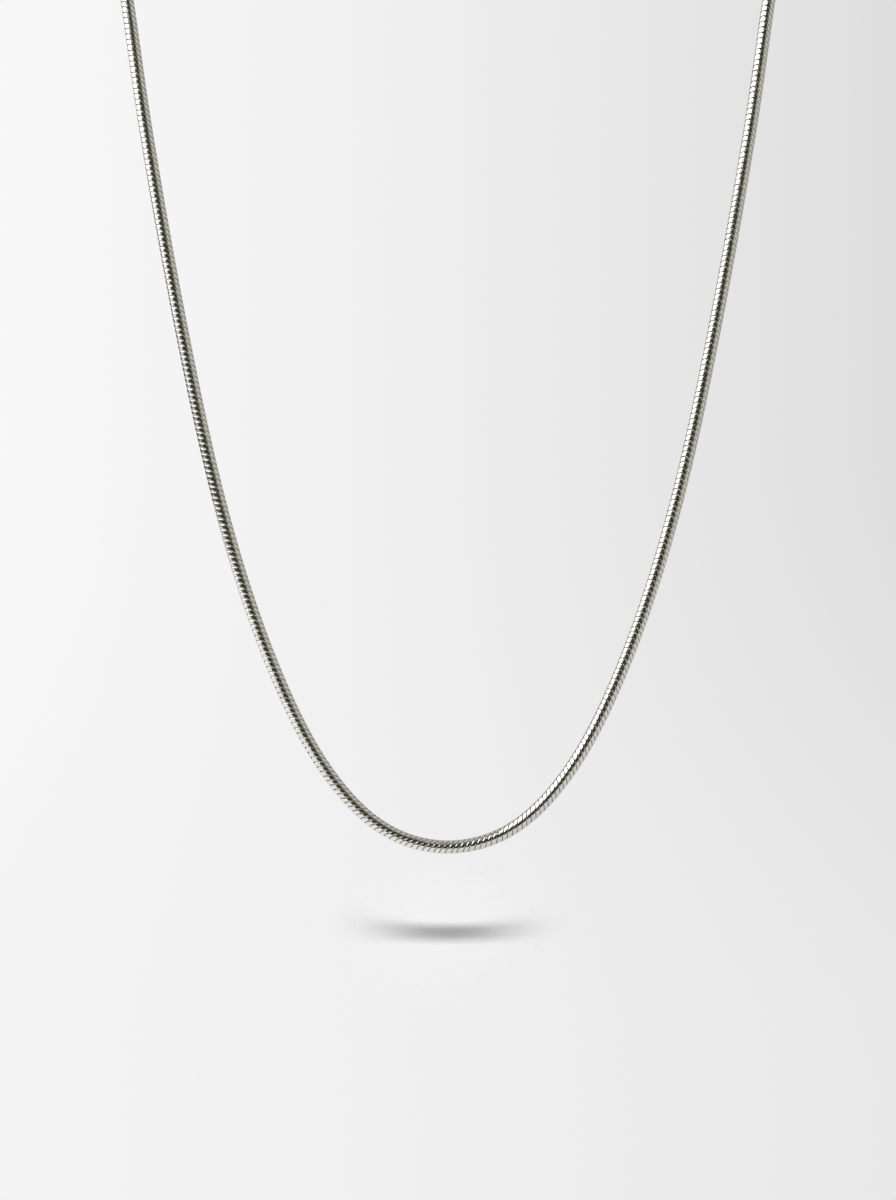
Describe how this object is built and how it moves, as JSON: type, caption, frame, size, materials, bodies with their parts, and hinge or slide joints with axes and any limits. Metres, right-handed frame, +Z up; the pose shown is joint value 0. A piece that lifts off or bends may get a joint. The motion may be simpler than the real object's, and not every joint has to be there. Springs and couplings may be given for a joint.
{
  "type": "snake chain necklace",
  "caption": "Round snake chain necklace in polished silver, hung as worn round a neck, with a plain barrel clasp at the nape.",
  "frame": {"origin": "middle of the barrel clasp, where the loop rests on the nape", "axes": "+Z up, -Y towards the front of the loop as worn, X across the neck along the clasp"},
  "size_m": [0.1146, 0.1131, 0.1711],
  "materials": {
    "chain_silver": "polished silver",
    "clasp_silver": "polished silver"
  },
  "bodies": {
    "root": {"snake_chain": "chain_silver", "barrel_clasp": "clasp_silver"}
  },
  "joints": []
}
